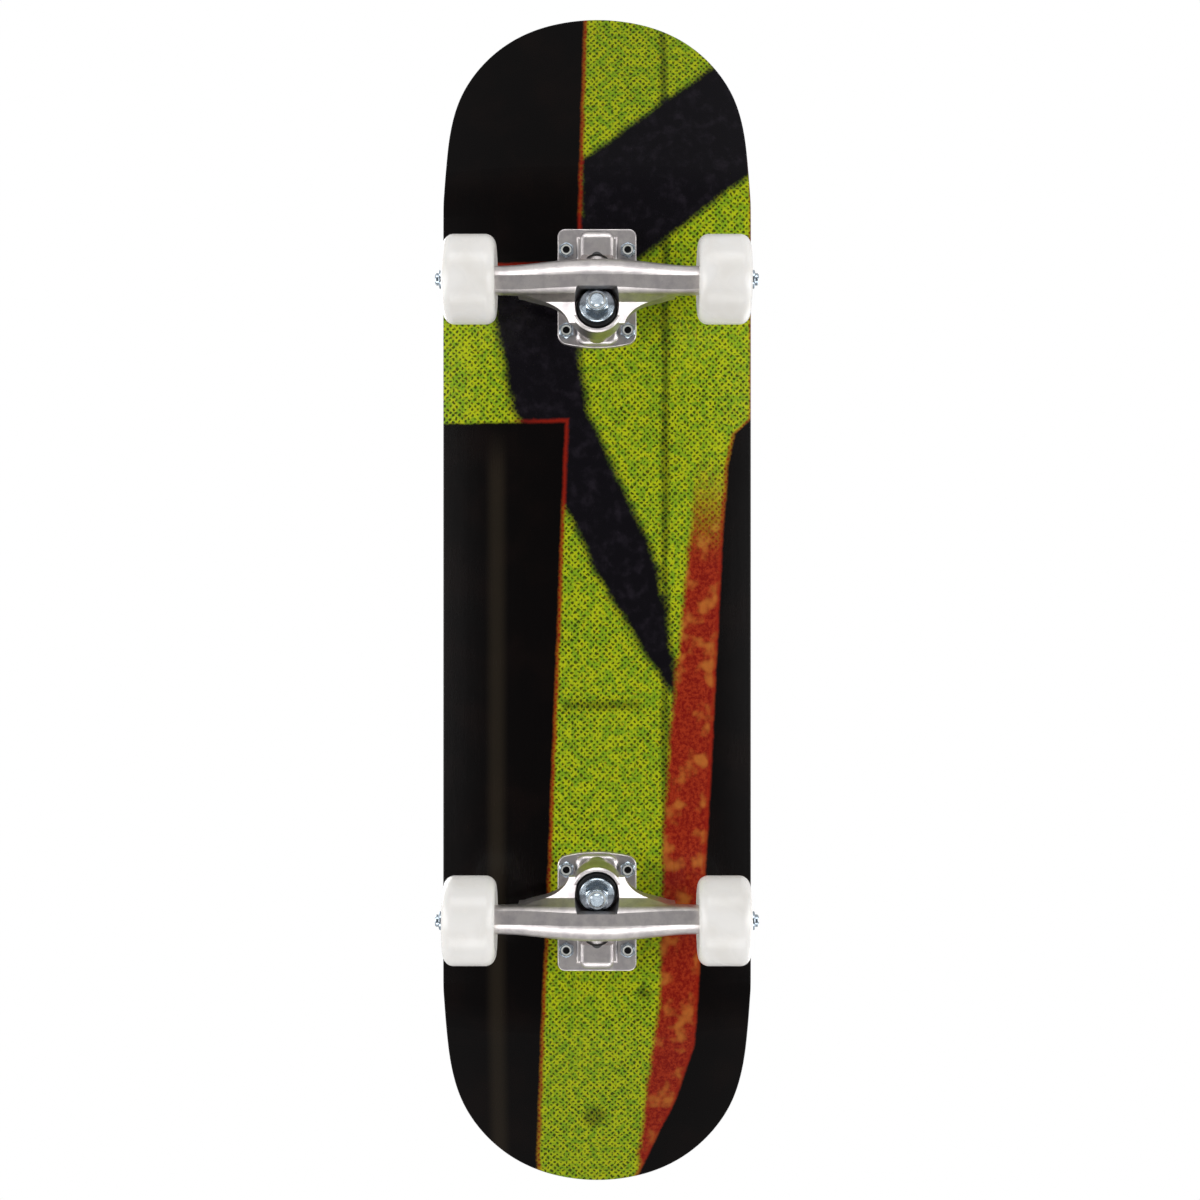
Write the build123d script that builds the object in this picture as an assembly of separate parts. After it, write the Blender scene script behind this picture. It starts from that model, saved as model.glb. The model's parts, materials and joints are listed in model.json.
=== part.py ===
from build123d import *
import os
from math import asin, cos, radians, sin, sqrt

# Complete street skateboard, in millimetres, standing on its four wheels.
# +X runs toward the nose, Y across the board, +Z up. The origin is on the
# ground, under the middle of the board.

# ---- Driving dimensions -------------------------------------------------------

# Deck
deck_length = 812.8
deck_width = 209.55
ply_count = 7
ply_thickness = 1.57
grip_thickness = 0.8
grip_edge_inset = 2.2
rail_radius = 1.0
concave_flat_half_width = 30.0
concave_radius = 311.0
kick_start = 146.0
kick_bend_radius = 100.0
kick_angle = 20.0

# Plan outline of the two ends: blunt tip arc, fitted corner arc, long shoulder arc
nose_tip_radius = 120.8
nose_tip_half_angle = 20.2
nose_shoulder_radius = 629.0
nose_shoulder_angle = 6.2
tail_tip_radius = 112.0
tail_tip_half_angle = 20.2
tail_shoulder_radius = 620.0
tail_shoulder_angle = 6.8

# Truck position and the bolt pattern that fastens it
truck_spacing = 415.92
bolt_spacing_x = 53.975
bolt_spacing_y = 41.275
truck_height = 53.0

# Mounting hardware
bolt_diameter = 4.83
bolt_length = 22.2
bolt_head_diameter = 9.4
bolt_head_rim = 0.4
bolt_head_below_grip = 0.2
bolt_hole_clearance = 0.15
bolt_socket_across_flats = 3.2
bolt_socket_depth = 1.9
mounting_nut_across_flats = 9.53
mounting_nut_hex_height = 4.3
mounting_nut_collar_height = 1.6

# Baseplate
baseplate_outboard = 41.8
baseplate_inboard = 34.4
baseplate_width = 53.0
baseplate_inboard_bulge = 4.0
baseplate_outboard_corner = 5.0
baseplate_inboard_corner = 7.0
flange_thickness = 6.0
housing_outboard = 38.0
housing_inboard = 15.0
housing_width = 22.4
housing_height = 21.0
housing_rib_width = 27.6
housing_rib_height = 9.5
boss_radius = 12.4
boss_height = 14.3
boss_foot_inboard = 37.0
boss_foot_outboard = 12.0
boss_foot_width = 29.0
boss_foot_height = 11.0
boss_foot_corner = 7.0
boss_foot_round = 3.5
spine_width = 13.0
spine_height = 9.0
casting_fillet = 1.5

# Kingpin and the stack on it, all measured along the kingpin from the deck
kingpin_foot_x = -25.1
kingpin_lean = 12.0
kingpin_radius = 4.76
kingpin_end = 57.5
kingpin_head_start = 2.2
kingpin_head_height = 5.5
kingpin_across_flats = 14.3
kingpin_nut_hex_height = 6.2
kingpin_nut_collar_height = 1.8
cup_washer_thickness = 1.5
cup_washer_lip_height = 2.0
cup_washer_lip_width = 1.4
bottom_washer_radius = 12.0
top_washer_radius = 11.5
bottom_bushing_height = 14.0
bottom_bushing_radius = 13.0
top_bushing_height = 10.0
top_bushing_radius = 13.6
bushing_neck_clearance = 0.2
bushing_bore_clearance = 0.1

# Steering axis: centre of the pivot pin's tip, measured from the deck's underside
pivot_tip_x = 27.0
pivot_tip_depth = 11.0
pivot_tip_radius = 5.5
pivot_running_clearance = 0.3
pivot_cup_wall = 1.9
pivot_cup_mouth = 9.0
pivot_neck_radius = 8.5
pivot_neck_length = 33.0

# Hanger
hanger_width = 138.8
hanger_end_radius = 9.4
hanger_end_offset = -0.6
hanger_middle_radius = 12.4
hanger_middle_offset = 1.4
hanger_middle_rise = 3.0
hanger_shoulder_radius = 10.8
hanger_shoulder_rise = 1.4
hanger_shoulder_y = 38.0
ring_web_thickness = 6.0
ring_web_hole_radius = 6.4
ring_outer_radius = 16.8
ring_wall_road_side = 6.2
ring_wall_deck_side = 3.8
ring_recess_clearance = 0.9
pocket_wall_to_axle = 1.2
steering_limit = 10.0
steering_clearance = 0.6
wing_half_length = 43.0
wing_tip_depth = 11.4
wing_bow_depth = 14.6
wing_bow_y = 31.0
wing_sweep_depth = 19.6
wing_sweep_y = 22.6
ring_blend = 1.4

# Axle and what is on it
axle_radius = 3.97
axle_length = 209.55
speed_washer_thickness = 1.0
speed_washer_radius = 6.4
axle_nut_across_flats = 12.7
axle_nut_hex_height = 5.2
axle_nut_collar_height = 1.7

# 608 bearings and the spacer between them
bearing_outer_radius = 11.0
bearing_width = 7.0
bearing_gap = 10.0
bearing_outer_race_inner_radius = 9.3
bearing_inner_race_outer_radius = 6.1
bearing_pitch_radius = 7.5
bearing_ball_radius = 1.985
bearing_ball_count = 7
bearing_ball_clearance = 0.04
bearing_shield_thickness = 0.35
bearing_shield_inset = 0.25
bearing_shield_gap = 0.15
axle_bore_clearance = 0.03
spacer_radius = 5.0

# Wheels
wheel_diameter = 58.0
wheel_width = 34.0
wheel_tread_width = 20.0
wheel_lip_radius = 21.5
wheel_hub_mouth_radius = 14.0
wheel_seat_shoulder = 1.6

# ---- Values that follow -------------------------------------------------------

wheel_radius = wheel_diameter / 2
axle_z = wheel_radius
deck_bottom = wheel_radius + truck_height
deck_thickness = ply_count * ply_thickness
deck_top = deck_bottom + deck_thickness
truck_x = truck_spacing / 2
nose_end = deck_length / 2
flange_bottom = deck_bottom - flange_thickness

lean_sin = sin(radians(kingpin_lean))
lean_cos = cos(radians(kingpin_lean))
kingpin_plane = Plane(
    origin=(kingpin_foot_x, 0, deck_bottom),
    x_dir=(lean_cos, 0, lean_sin),
    z_dir=(lean_sin, 0, -lean_cos),
)

# Stations along the kingpin
bottom_washer_start = boss_height
bottom_bushing_start = bottom_washer_start + cup_washer_thickness
web_start = bottom_bushing_start + bottom_bushing_height
web_end = web_start + ring_web_thickness
top_washer_start = web_end + top_bushing_height
kingpin_nut_start = top_washer_start + cup_washer_thickness

# The steering axis joins the pivot pin's tip to the middle of the ring's web
pivot_tip = Vector(pivot_tip_x, 0, deck_bottom - pivot_tip_depth)
ring_centre = kingpin_plane.from_local_coords(Vector(0, 0, (web_start + web_end) / 2))
steering_direction = (ring_centre - pivot_tip).normalized()
steering_plane = Plane(origin=pivot_tip, x_dir=(0, 1, 0), z_dir=steering_direction)

top_recess_radius = top_bushing_radius + ring_recess_clearance
bottom_recess_radius = bottom_bushing_radius + ring_recess_clearance

# Stations along the axle, measured from the board's centreline
bearing_stack_start = hanger_width / 2 + speed_washer_thickness
bearing_stack_length = 2 * bearing_width + bearing_gap
wheel_centre_y = bearing_stack_start + bearing_stack_length / 2
outer_washer_start = bearing_stack_start + bearing_stack_length
axle_nut_start = outer_washer_start + speed_washer_thickness

bolt_head_top = deck_top + grip_thickness - bolt_head_below_grip
bolt_radius = bolt_diameter / 2
bolt_head_radius = bolt_head_diameter / 2
bolt_places = [
    (side_x * bolt_spacing_x / 2, side_y * bolt_spacing_y / 2)
    for side_x in (1, -1)
    for side_y in (1, -1)
]

# Small edges and reliefs
hex_corner_chamfer = 0.14
hex_chamfer_drop = 0.6
collar_share = 0.95
collar_round_share = 0.4
rail_share_of_ply = 0.7
spine_setback = 2.0
rib_setback = 3.0
housing_edge_round = 3.0
housing_nose_round = 5.0
flange_edge = 0.8
boss_taper = 0.4
pivot_cup_depth = pivot_tip_radius + pivot_running_clearance + pivot_cup_wall
pivot_cup_radius = pivot_tip_radius + pivot_running_clearance + pivot_cup_wall
kingpin_end_chamfer = 0.9
axle_end_chamfer = 0.7
bushing_shoulder = 2.0
ring_edge = 1.0
gusset_reach = 8.0
gusset_width = 11.0
gusset_depth = 26.0
gusset_foot = 7.0
gusset_overlap = 6.0
neck_root_share = 0.6
facet_depth = 8.0
facet_shift = 2.3
facet_tilt = 16.4
web_hole_overrun = 1.0
wheel_dish_step = 1.0
collar_wall = 1.0
insert_recess = 0.3
thread_fit = 0.05
cutter_overrun = 20.0
section_overrun = 8.0


# ---- Shared shapes ------------------------------------------------------------


def edges_of(curves):
    """The single edges that a list of curves is made of."""
    return [edge for curve in curves for edge in curve.edges()]


def turned(points):
    """A solid of revolution about Z from a closed list of (radius, height) points."""
    outline = make_face(Polyline(*[(radius, 0, height) for radius, height in points], close=True))
    return revolve(outline, Axis.Z)


def tube(outer_radius, inner_radius, start, end):
    """A straight tube about Z between two heights."""
    return turned(
        [(inner_radius, start), (outer_radius, start), (outer_radius, end), (inner_radius, end)]
    )


def hex_prism(across_flats, start, height):
    """A hexagonal prism about Z with its corners turned off at both ends."""
    corner_radius = across_flats / sqrt(3)
    chamfer_size = corner_radius * hex_corner_chamfer
    prism = Pos(0, 0, start) * extrude(RegularPolygon(corner_radius, 6), height)
    turned_blank = turned(
        [
            (0, start),
            (corner_radius - chamfer_size, start),
            (corner_radius, start + chamfer_size * hex_chamfer_drop),
            (corner_radius, start + height - chamfer_size * hex_chamfer_drop),
            (corner_radius - chamfer_size, start + height),
            (0, start + height),
        ]
    )
    return prism & turned_blank


def locknut(across_flats, hex_height, collar_height, bore_radius):
    """A locknut standing on Z = 0: hexagon, collar and the seat for its insert."""
    collar_radius = across_flats / 2 * collar_share
    total_height = hex_height + collar_height
    nut = hex_prism(across_flats, 0, hex_height)
    nut += Pos(0, 0, hex_height) * extrude(Circle(collar_radius), collar_height)
    collar_edge = nut.edges().filter_by(GeomType.CIRCLE).group_by(Axis.Z)[-1]
    nut = fillet(collar_edge, collar_height * collar_round_share)
    nut -= extrude(Circle(bore_radius), total_height)
    nut -= Pos(0, 0, hex_height) * extrude(Circle(collar_radius - collar_wall), total_height)
    return nut


def locknut_insert(across_flats, hex_height, collar_height, bore_radius):
    """The nylon ring that sits in a locknut's collar."""
    collar_radius = across_flats / 2 * collar_share
    return tube(
        collar_radius - collar_wall,
        bore_radius,
        hex_height,
        hex_height + collar_height - insert_recess,
    )


def pivot_neck_radius_at(distance):
    """The pivot arm's radius at a distance from the middle of its round tip."""
    growth = (pivot_neck_radius - pivot_tip_radius) / pivot_neck_length
    return pivot_tip_radius + growth * distance


def on_kingpin(shape):
    return kingpin_plane * shape


def at_truck(shape, side):
    """Move a piece of the truck from its own frame to the nose (+1) or tail (-1) end."""
    placed = Pos(truck_x, 0, 0) * shape
    return placed if side > 0 else Rot(0, 0, 180) * placed


def at_axle_end(shape, side_y):
    """Turn a piece that lies along +Z so that it lies outward along the axle."""
    return Pos(0, 0, axle_z) * Rot(-90 * side_y, 0, 0) * shape


# ---- Deck ---------------------------------------------------------------------


def end_outline(inset, tip_radius, tip_half_angle, shoulder_radius, shoulder_angle):
    """One quarter of the plan outline at the nose: a smooth curve from tip to rail."""
    tip_angle = radians(tip_half_angle)
    shoulder = radians(shoulder_angle)
    tip_rise = tip_radius * sin(tip_angle)
    shoulder_rise = shoulder_radius * (1 - cos(shoulder))
    corner_rise = deck_width / 2 - inset - tip_rise - shoulder_rise
    corner_radius = corner_rise / (cos(shoulder) - sin(tip_angle))

    tip = JernArc((nose_end - inset, 0), (0, 1), tip_radius, tip_half_angle)
    corner = JernArc(tip @ 1, tip % 1, corner_radius, 90 - tip_half_angle - shoulder_angle)
    long_shoulder = JernArc(corner @ 1, corner % 1, shoulder_radius, shoulder_angle)
    points = [tip @ 0, tip @ 0.5]
    points += [corner @ share for share in (0, 0.25, 0.5, 0.75, 1)]
    points += [long_shoulder @ share for share in (0.35, 0.7, 1)]
    return Spline(*points, tangents=[tip % 0, long_shoulder % 1])


def plan_outline(inset):
    """The deck's outline seen from above, drawn in by a margin."""
    nose = end_outline(
        inset, nose_tip_radius, nose_tip_half_angle, nose_shoulder_radius, nose_shoulder_angle
    )
    tail = end_outline(
        inset, tail_tip_radius, tail_tip_half_angle, tail_shoulder_radius, tail_shoulder_angle
    )
    tail_rail_start = Vector(-(tail @ 1).X, (tail @ 1).Y)
    half = [nose, Line(nose @ 1, tail_rail_start), mirror(tail, Plane.YZ)]
    other_half = [mirror(curve, Plane.XZ) for curve in half]
    return make_face(edges_of([*half, *other_half]))


def path_point(side, angle, beyond=0):
    """A point of the deck's path: an angle round an end's bend, then a way up its kick."""
    bend_start_x = nose_end - kick_start
    across = kick_bend_radius * sin(radians(angle)) + beyond * cos(radians(angle))
    up = kick_bend_radius * (1 - cos(radians(angle))) + beyond * sin(radians(angle))
    return Vector(side * (bend_start_x + across), 0, deck_bottom + up)


def deck_path():
    """The line that the deck's cross-section follows, from tail to nose."""
    kick_length = kick_start + cutter_overrun
    tail = [path_point(-1, angle) for angle in (kick_angle, kick_angle / 2, 0)]
    nose = [path_point(1, angle) for angle in (0, kick_angle / 2, kick_angle)]
    pieces = [
        Line(path_point(-1, kick_angle, kick_length), tail[0]),
        ThreePointArc(*tail),
        Line(tail[2], nose[0]),
        ThreePointArc(*nose),
        Line(nose[2], path_point(1, kick_angle, kick_length)),
    ]
    return Wire(edges_of(pieces))


def concave_points(height):
    """Start, middle and end of the rising part of the cross-section at a height."""
    reach = deck_width / 2 + section_overrun - concave_flat_half_width
    full_angle = asin(reach / concave_radius)
    radius = concave_radius - height
    return [
        (
            concave_flat_half_width + radius * sin(angle),
            height + radius * (1 - cos(angle)),
        )
        for angle in (0, full_angle / 2, full_angle)
    ]


def concave_band(bottom, top):
    """A layer of the cross-section between two heights above the deck's underside."""
    low = concave_points(bottom)
    high = concave_points(top)
    low_left = [(-across, up) for across, up in low]
    high_left = [(-across, up) for across, up in high]
    return make_face(
        [
            ThreePointArc(*reversed(low_left)),
            Line(low_left[0], low[0]),
            ThreePointArc(*low),
            Line(low[2], high[2]),
            ThreePointArc(*reversed(high)),
            Line(high[0], high_left[0]),
            ThreePointArc(*high_left),
            Line(high_left[2], low_left[2]),
        ]
    )


def deck_layer(bottom, top):
    """A bent layer between two heights above the underside, not yet cut to outline."""
    path = deck_path()
    section_plane = Plane(origin=path @ 0, x_dir=(0, 1, 0), z_dir=path % 0)
    return sweep(section_plane * concave_band(bottom, top), path)


def outline_cutter(inset):
    """A tall block with the deck's plan outline, drawn in by a margin."""
    block = extrude(plan_outline(inset), deck_width, dir=(0, 0, 1))
    return Pos(0, 0, deck_bottom - cutter_overrun) * block


def bolt_blank(extra):
    """The outer form of a mounting bolt in its place, with a margin all round."""
    cone_height = bolt_head_radius - bolt_radius
    rim_end = bolt_head_top - bolt_head_rim
    return turned(
        [
            (0, bolt_head_top),
            (bolt_head_radius + extra, bolt_head_top),
            (bolt_head_radius + extra, rim_end),
            (bolt_radius + extra, rim_end - cone_height),
            (bolt_radius + extra, bolt_head_top - bolt_length),
            (0, bolt_head_top - bolt_length),
        ]
    )


def bolt_holes():
    """The holes that the eight mounting bolts need through the deck."""
    opening = Pos(0, 0, bolt_head_top) * extrude(
        Circle(bolt_head_radius + bolt_hole_clearance), cutter_overrun
    )
    hole = bolt_blank(bolt_hole_clearance) + opening
    return [
        Pos(side * (truck_x + x), y, 0) * hole
        for side in (1, -1)
        for x, y in bolt_places
    ]


def round_rail(ply, outward):
    """Round the rail of an outer ply, on its lower (-1) or upper (+1) side."""
    side_faces = ply.faces().filter_by(lambda face: abs(face.normal_at().Z) < 0.5)
    outer_faces = ply.faces().filter_by(lambda face: outward * face.normal_at().Z > 0.5)
    outer_edges = outer_faces.edges()
    rail_edges = [edge for edge in side_faces.edges() if edge in outer_edges]
    return fillet(rail_edges, min(rail_radius, ply_thickness * rail_share_of_ply))


def make_deck():
    """The seven plies and the grip tape, by node name."""
    outline = outline_cutter(0)
    plies = [
        deck_layer(ply * ply_thickness, (ply + 1) * ply_thickness) & outline
        for ply in range(ply_count)
    ]
    plies[0] = round_rail(plies[0], -1)
    plies[-1] = round_rail(plies[-1], 1)
    holes = bolt_holes()
    nodes = {f"ply_{number}": ply - holes for number, ply in enumerate(plies, 1)}
    tape = deck_layer(deck_thickness, deck_thickness + grip_thickness)
    nodes["grip_tape"] = (tape & outline_cutter(grip_edge_inset)) - holes
    return nodes


# ---- Mounting hardware --------------------------------------------------------


def make_mounting_bolts():
    """Four flat-head bolts with a hexagonal socket."""
    socket = extrude(RegularPolygon(bolt_socket_across_flats / sqrt(3), 6), -bolt_socket_depth)
    bolt = bolt_blank(0) - Pos(0, 0, bolt_head_top) * socket
    return Compound([Pos(x, y, 0) * bolt.solid() for x, y in bolt_places])


def hanging_nuts(nut):
    """Four copies of a nut part, turned down onto the baseplate's flange."""
    return [Pos(x, y, flange_bottom) * Rot(180, 0, 0) * nut.solid() for x, y in bolt_places]


def make_mounting_nuts():
    nut = locknut(
        mounting_nut_across_flats,
        mounting_nut_hex_height,
        mounting_nut_collar_height,
        bolt_radius + thread_fit,
    )
    return Compound(hanging_nuts(nut))


def make_locknut_inserts():
    """The nylon rings of the four mounting nuts and the kingpin nut."""
    small = locknut_insert(
        mounting_nut_across_flats, mounting_nut_hex_height, mounting_nut_collar_height, bolt_radius
    )
    large = locknut_insert(
        kingpin_across_flats, kingpin_nut_hex_height, kingpin_nut_collar_height, kingpin_radius
    )
    kingpin_insert = on_kingpin(Pos(0, 0, kingpin_nut_start) * large)
    return Compound([*hanging_nuts(small), kingpin_insert.solid()])


# ---- Baseplate and pivot ------------------------------------------------------


def baseplate_outline():
    """The baseplate's plan: rounded corners and a bulging inboard edge."""
    half_width = baseplate_width / 2
    corners = [
        (-baseplate_inboard, half_width),
        (baseplate_outboard, half_width),
        (baseplate_outboard, -half_width),
        (-baseplate_inboard, -half_width),
    ]
    bulge_apex = (-baseplate_inboard - baseplate_inboard_bulge, 0)
    inboard_edge = ThreePointArc(corners[3], bulge_apex, corners[0])
    plate = make_face(edges_of([Polyline(*corners), inboard_edge]))
    plate = fillet(plate.vertices().group_by(Axis.X)[-1], baseplate_outboard_corner)
    return fillet(plate.vertices().group_by(Axis.X)[0], baseplate_inboard_corner)


def standing_block(start_x, end_x, width, height):
    """A block that hangs from the deck's underside, given its span along the board."""
    length = end_x - start_x
    middle = ((start_x + end_x) / 2, 0, deck_bottom - height / 2)
    return Pos(*middle) * Box(length, width, height)


def make_pivot_housing():
    """The box round the pivot cup, with its inboard face square to the steering axis."""
    housing = standing_block(housing_inboard, housing_outboard, housing_width, housing_height)
    top_edges = housing.edges().group_by(Axis.Z)[0]
    housing = fillet(top_edges.filter_by(Axis.X), housing_edge_round)
    housing = fillet(housing.edges().group_by(Axis.X)[-1].filter_by(Axis.Y), housing_nose_round)
    return housing - steering_plane * Pos(0, 0, pivot_cup_mouth) * extrude(
        Circle(cutter_overrun * 2), cutter_overrun * 2
    )


def make_baseplate():
    """One cast piece: flange, kingpin boss, spine, pivot housing and its ribs."""
    flange = extrude(baseplate_outline(), flange_thickness, dir=(0, 0, 1))
    flange = Pos(0, 0, flange_bottom) * flange
    rim = flange.edges().group_by(Axis.Z)[0]
    flange = fillet(rim, flange_edge)
    boss_profile = [
        (0, 0),
        (boss_radius + boss_taper, 0),
        (boss_radius, boss_height),
        (0, boss_height),
    ]
    boss = on_kingpin(turned(boss_profile))
    boss &= standing_block(-baseplate_width, baseplate_width, baseplate_width, baseplate_width)
    foot = standing_block(
        -boss_foot_inboard, -boss_foot_outboard, boss_foot_width, boss_foot_height
    )
    foot = fillet(foot.edges().filter_by(Axis.Z), boss_foot_corner)
    foot = fillet(foot.edges().group_by(Axis.Z)[0], boss_foot_round)
    outboard_end = housing_outboard - spine_setback
    spine = standing_block(kingpin_foot_x, outboard_end, spine_width, spine_height)
    ribs = standing_block(
        housing_inboard + rib_setback, outboard_end, housing_rib_width, housing_rib_height
    )
    ribs = fillet(ribs.edges().group_by(Axis.Z)[0], casting_fillet)
    casting = flange + boss + foot + spine + ribs + make_pivot_housing()

    cup_seat = steering_plane * Pos(0, 0, -pivot_cup_depth) * extrude(
        Circle(pivot_cup_radius), pivot_cup_depth + pivot_cup_mouth + cutter_overrun
    )
    kingpin_hole = on_kingpin(extrude(Circle(kingpin_radius + bolt_hole_clearance), cutter_overrun))
    head_pocket = on_kingpin(
        Pos(0, 0, -cutter_overrun)
        * extrude(
            RegularPolygon(kingpin_across_flats / sqrt(3) + bolt_hole_clearance, 6),
            cutter_overrun + kingpin_head_start + kingpin_head_height,
        )
    )
    bolt_hole = Pos(0, 0, flange_bottom - flange_thickness) * extrude(
        Circle(bolt_radius + bolt_hole_clearance), 3 * flange_thickness
    )
    casting -= cup_seat
    casting -= kingpin_hole
    casting -= head_pocket
    casting -= [Pos(x, y, 0) * bolt_hole for x, y in bolt_places]
    return casting


def make_pivot_cup():
    """The plastic cup that the hanger's pivot pin turns in."""
    cavity_radius = pivot_tip_radius + pivot_running_clearance
    cup = Pos(0, 0, -pivot_cup_depth) * extrude(
        Circle(pivot_cup_radius), pivot_cup_depth + pivot_cup_mouth
    )
    cup -= Sphere(cavity_radius)
    mouth_radius = pivot_neck_radius_at(pivot_cup_mouth) + pivot_running_clearance
    cup -= turned(
        [(0, 0), (cavity_radius, 0), (mouth_radius, pivot_cup_mouth), (0, pivot_cup_mouth)]
    )
    return steering_plane * cup


# ---- Kingpin stack ------------------------------------------------------------


def make_kingpin():
    """The bolt that holds the truck together, its head toward the deck."""
    head = hex_prism(kingpin_across_flats, kingpin_head_start, kingpin_head_height)
    shank = turned(
        [
            (0, kingpin_head_start),
            (kingpin_radius, kingpin_head_start),
            (kingpin_radius, kingpin_end - kingpin_end_chamfer),
            (kingpin_radius - kingpin_end_chamfer, kingpin_end),
            (0, kingpin_end),
        ]
    )
    return on_kingpin(head + shank)


def make_kingpin_nut():
    nut = locknut(
        kingpin_across_flats,
        kingpin_nut_hex_height,
        kingpin_nut_collar_height,
        kingpin_radius + thread_fit,
    )
    return on_kingpin(Pos(0, 0, kingpin_nut_start) * nut)


def cup_washer(radius):
    """A washer on Z = 0 whose lip stands up round the end of a bushing."""
    bore = kingpin_radius + bushing_bore_clearance
    inner = radius - cup_washer_lip_width
    rim_height = cup_washer_thickness + cup_washer_lip_height
    edge = cup_washer_thickness / 3
    return turned(
        [
            (bore, 0),
            (radius - edge, 0),
            (radius, edge),
            (radius, rim_height),
            (inner, rim_height),
            (inner, cup_washer_thickness),
            (bore, cup_washer_thickness),
        ]
    )


def bushing(radius, neck_radius, neck_height, height):
    """A rubber bushing on Z = 0 whose narrow end fits in a cup washer."""
    bore = kingpin_radius + bushing_bore_clearance
    body = turned(
        [
            (bore, 0),
            (neck_radius, 0),
            (neck_radius, neck_height),
            (radius, neck_height + bushing_shoulder),
            (radius, height),
            (bore, height),
        ]
    )
    return body


def make_bottom_washer():
    return on_kingpin(Pos(0, 0, bottom_washer_start) * cup_washer(bottom_washer_radius))


def make_top_washer():
    washer = Rot(180, 0, 0) * cup_washer(top_washer_radius)
    return on_kingpin(Pos(0, 0, kingpin_nut_start) * washer)


def make_bottom_bushing():
    neck_radius = bottom_washer_radius - cup_washer_lip_width - bushing_neck_clearance
    piece = bushing(
        bottom_bushing_radius, neck_radius, cup_washer_lip_height, bottom_bushing_height
    )
    return on_kingpin(Pos(0, 0, bottom_bushing_start) * piece)


def make_top_bushing():
    neck_radius = top_washer_radius - cup_washer_lip_width - bushing_neck_clearance
    piece = bushing(top_bushing_radius, neck_radius, cup_washer_lip_height, top_bushing_height)
    return on_kingpin(Pos(0, 0, top_washer_start) * Rot(180, 0, 0) * piece)


# ---- Hanger -------------------------------------------------------------------


def beam_section(y, radius, offset_x, rise):
    """A round section of the hanger's beam, across the axle."""
    plane = Plane(origin=(offset_x, y, axle_z + rise), x_dir=(1, 0, 0), z_dir=(0, 1, 0))
    return plane * Circle(radius)


def make_beam():
    """The bar round the axle, thickest in the middle."""
    half = hanger_width / 2
    sections = [
        beam_section(-half, hanger_end_radius, hanger_end_offset, 0),
        beam_section(-hanger_shoulder_y, hanger_shoulder_radius, 0, hanger_shoulder_rise),
        beam_section(0, hanger_middle_radius, hanger_middle_offset, hanger_middle_rise),
        beam_section(hanger_shoulder_y, hanger_shoulder_radius, 0, hanger_shoulder_rise),
        beam_section(half, hanger_end_radius, hanger_end_offset, 0),
    ]
    return loft(sections)


def make_ring():
    """The ring round the kingpin that the bushings press on."""
    wall_start = web_start - ring_wall_deck_side
    wall_end = web_end + ring_wall_road_side
    ring = turned(
        [
            (0, wall_start),
            (ring_outer_radius - ring_edge, wall_start),
            (ring_outer_radius, wall_start + ring_edge),
            (ring_outer_radius, wall_end - ring_edge),
            (ring_outer_radius - ring_edge, wall_end),
            (0, wall_end),
        ]
    )
    return on_kingpin(ring)


def make_wings():
    """The web that joins the ring to the beam, shaped in plan and from the side."""
    beam_side = -hanger_end_radius
    edge_points = [
        (beam_side, wing_half_length + ring_outer_radius / 2),
        (-wing_tip_depth, wing_half_length),
        (-wing_bow_depth, wing_bow_y),
        (-wing_sweep_depth, wing_sweep_y),
        (ring_centre.X - ring_outer_radius / 2, ring_outer_radius + ring_blend),
    ]
    edge = Spline(*edge_points, tangents=[(-0.04, -1), (-1, -0.2)])
    back = Polyline(
        edge @ 1,
        (ring_centre.X - ring_outer_radius / 2, 0),
        (hanger_middle_offset, 0),
        (hanger_middle_offset, edge_points[0][1]),
        edge @ 0,
    )
    half_plan = extrude(make_face(edges_of([edge, back])), deck_bottom)
    plan_block = half_plan + mirror(half_plan, Plane.XZ)
    wing_end = edge_points[0][1]
    ring_z = ring_centre.Z
    side = [
        (ring_centre.X - 8.0, ring_z + 1.0),
        (ring_centre.X + ring_outer_radius - 1.0, ring_z + 4.5),
        (hanger_end_radius, axle_z + 7.0),
        (hanger_end_offset, axle_z - 5.0),
        (-hanger_end_radius, axle_z - 3.5),
        (-hanger_shoulder_radius - 3.0, axle_z + 6.0),
        (ring_centre.X - 8.0, ring_z - 7.0),
    ]
    side_plane = Plane(origin=(0, wing_end, 0), x_dir=(1, 0, 0), z_dir=(0, -1, 0))
    side_block = extrude(side_plane * make_face(Polyline(*side, close=True)), 2 * wing_end)
    return plan_block & side_block


def make_neck():
    """The tapered arm that carries the pivot pin's round tip."""
    reach = (ring_centre - pivot_tip).length - ring_outer_radius * neck_root_share
    arm = turned(
        [(0, 0), (pivot_tip_radius, 0), (pivot_neck_radius_at(reach), reach), (0, reach)]
    )
    return steering_plane * (arm + Sphere(pivot_tip_radius))


def make_gusset():
    """The rib that ties the arm to the beam, clear of the pivot housing."""
    points = [
        (ring_centre.X + ring_outer_radius - gusset_overlap, ring_centre.Z + 2.0),
        (gusset_reach, deck_bottom - gusset_depth),
        (gusset_reach + 2.0, axle_z + gusset_foot),
        (hanger_end_offset, axle_z),
    ]
    plane = Plane(origin=(0, gusset_width / 2, 0), x_dir=(1, 0, 0), z_dir=(0, -1, 0))
    return extrude(plane * make_face(Polyline(*points, close=True)), gusset_width)


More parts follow.
